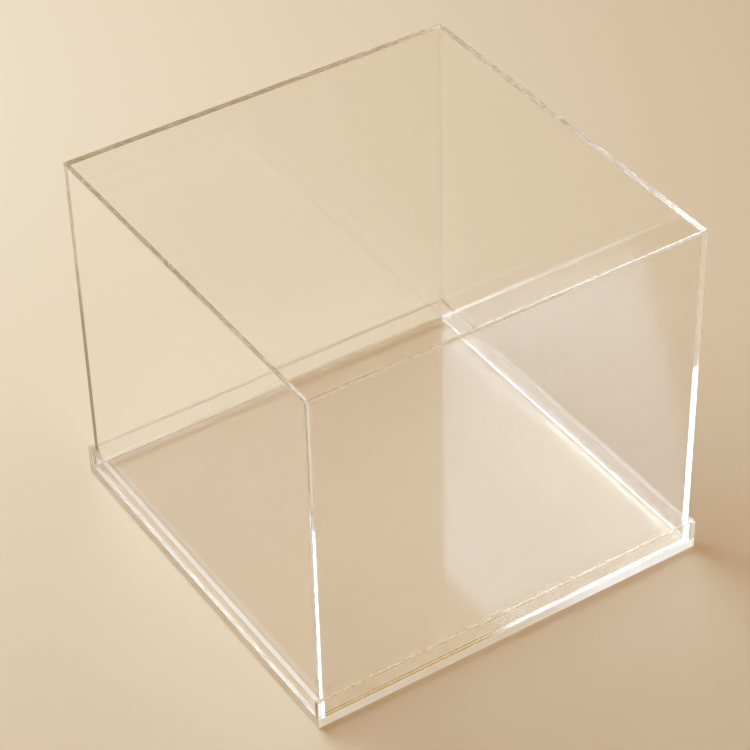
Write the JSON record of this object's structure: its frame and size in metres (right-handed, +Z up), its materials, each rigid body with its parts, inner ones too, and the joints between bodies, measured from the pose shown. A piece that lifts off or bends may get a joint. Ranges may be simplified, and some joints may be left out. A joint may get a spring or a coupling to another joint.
{
  "type": "acrylic cake box",
  "caption": "Clear acrylic cake box: shallow square tray with a low rim and a bottomless lift-off cover that drops inside the rim and stands on the tray.",
  "frame": {"origin": "centre of the tray's underside, on the surface that the box stands on", "axes": "+Z up, the way the cover lifts; +X to the right and -Y to the front, along the square's sides"},
  "size_m": [0.203, 0.203, 0.178],
  "materials": {
    "clear_acrylic": "clear cast acrylic sheet, glossy faces, polished cut edges"
  },
  "bodies": {
    "tray": {"base_plate": "clear_acrylic", "rim_front": "clear_acrylic", "rim_back": "clear_acrylic", "rim_left": "clear_acrylic", "rim_right": "clear_acrylic"},
    "cover": {"top_panel": "clear_acrylic", "wall_front": "clear_acrylic", "wall_back": "clear_acrylic", "wall_left": "clear_acrylic", "wall_right": "clear_acrylic"}
  },
  "joints": [
    {"name": "cover_lift", "type": "slide", "parent": "tray", "child": "cover", "axis": [0, 0, 1], "range_m": [0, 0.2]}
  ]
}
